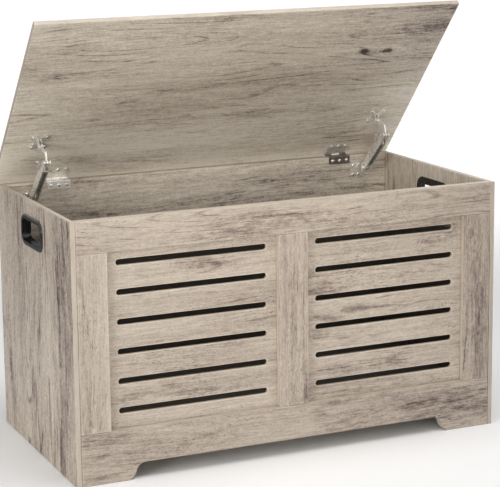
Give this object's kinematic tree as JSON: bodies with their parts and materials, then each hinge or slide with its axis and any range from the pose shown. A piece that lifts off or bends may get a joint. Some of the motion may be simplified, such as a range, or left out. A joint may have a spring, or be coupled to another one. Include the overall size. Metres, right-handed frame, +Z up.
{
  "type": "toy storage chest",
  "caption": "Wood-look storage chest for toys: slotted front panels in a frame, bracket feet, side hand holes, and a hinged lid held open by spring stays.",
  "frame": {"origin": "on the floor, at the centre of the footprint that the chest has with its lid standing open as modelled", "axes": "+Z up, +X to the right of the slotted front as its user sees it, +Y from the front to the back"},
  "size_m": [0.8, 0.4092, 0.7527],
  "materials": {
    "laminate_board": "matt weathered greige oak laminate",
    "laminate_slats": "matt weathered greige oak laminate, cream in the slots",
    "laminate_lid": "matt weathered greige oak laminate",
    "black_plastic": "satin black moulded plastic",
    "nickel_steel": "bright nickel plate",
    "spring_steel": "bright drawn wire",
    "zinc_alloy": "dull die-cast zinc",
    "dowel_beech": "bare beech"
  },
  "bodies": {
    "box": {"left_side_panel": "laminate_board", "right_side_panel": "laminate_board", "back_panel": "laminate_board", "bottom_panel": "laminate_board", "front_top_rail": "laminate_board", "front_bottom_rail": "laminate_board", "front_left_stile": "laminate_board", "front_centre_stile": "laminate_board", "front_right_stile": "laminate_board", "left_slat_panel": "laminate_slats", "right_slat_panel": "laminate_slats", "left_handle_grip": "black_plastic", "left_handle_ring": "black_plastic", "left_hinge_body_leaf": "nickel_steel", "left_hinge_pin": "nickel_steel", "left_stay_base_bracket": "nickel_steel", "left_stay_base_pin": "nickel_steel", "right_handle_grip": "black_plastic", "right_handle_ring": "black_plastic", "right_hinge_body_leaf": "nickel_steel", "right_hinge_pin": "nickel_steel", "right_stay_base_bracket": "nickel_steel", "right_stay_base_pin": "nickel_steel", "hinge_body_screws": "nickel_steel", "stay_base_screws": "nickel_steel", "wooden_dowels": "dowel_beech", "cam_locks": "zinc_alloy", "cam_bolts": "zinc_alloy"},
    "lid": {"lid_panel": "laminate_lid", "hinge_lid_screws": "nickel_steel", "stay_lid_screws": "nickel_steel", "left_hinge_lid_leaf": "nickel_steel", "left_stay_lid_bracket": "nickel_steel", "left_stay_lid_pin": "nickel_steel", "right_hinge_lid_leaf": "nickel_steel", "right_stay_lid_bracket": "nickel_steel", "right_stay_lid_pin": "nickel_steel"},
    "left_stay_arm": {"left_stay_channel": "nickel_steel", "left_stay_spring": "spring_steel", "left_stay_rod": "nickel_steel", "left_stay_end_plug": "nickel_steel", "left_stay_mid_pin": "nickel_steel"},
    "left_stay_link": {"left_stay_link": "nickel_steel"},
    "right_stay_arm": {"right_stay_channel": "nickel_steel", "right_stay_spring": "spring_steel", "right_stay_rod": "nickel_steel", "right_stay_end_plug": "nickel_steel", "right_stay_mid_pin": "nickel_steel"},
    "right_stay_link": {"right_stay_link": "nickel_steel"}
  },
  "joints": [
    {"name": "lid_hinge", "type": "hinge", "parent": "box", "child": "lid", "pos_m": [0, 0.19373, 0.44325], "axis": [-1, 0, 0], "range_deg": [-48.6, 36.4]},
    {"name": "left_stay_arm_pivot", "type": "hinge", "parent": "box", "child": "left_stay_arm", "pos_m": [-0.336, 0.16323, 0.419], "axis": [-1, 0, 0], "range_deg": [-48.6, 36.4]},
    {"name": "left_stay_link_pivot", "type": "hinge", "parent": "left_stay_arm", "child": "left_stay_link", "pos_m": [-0.336, 0.08563, 0.4919], "axis": [-1, 0, 0], "range_deg": [-36.4, 48.6]},
    {"name": "right_stay_arm_pivot", "type": "hinge", "parent": "box", "child": "right_stay_arm", "pos_m": [0.336, 0.16323, 0.419], "axis": [-1, 0, 0], "range_deg": [-48.6, 36.4]},
    {"name": "right_stay_link_pivot", "type": "hinge", "parent": "right_stay_arm", "child": "right_stay_link", "pos_m": [0.336, 0.08563, 0.4919], "axis": [-1, 0, 0], "range_deg": [-36.4, 48.6]}
  ],
  "couplings": [
    {"joint": "left_stay_arm_pivot", "follows": "lid_hinge", "ratio": 1},
    {"joint": "left_stay_link_pivot", "follows": "lid_hinge", "ratio": -1},
    {"joint": "right_stay_arm_pivot", "follows": "lid_hinge", "ratio": 1},
    {"joint": "right_stay_link_pivot", "follows": "lid_hinge", "ratio": -1}
  ]
}
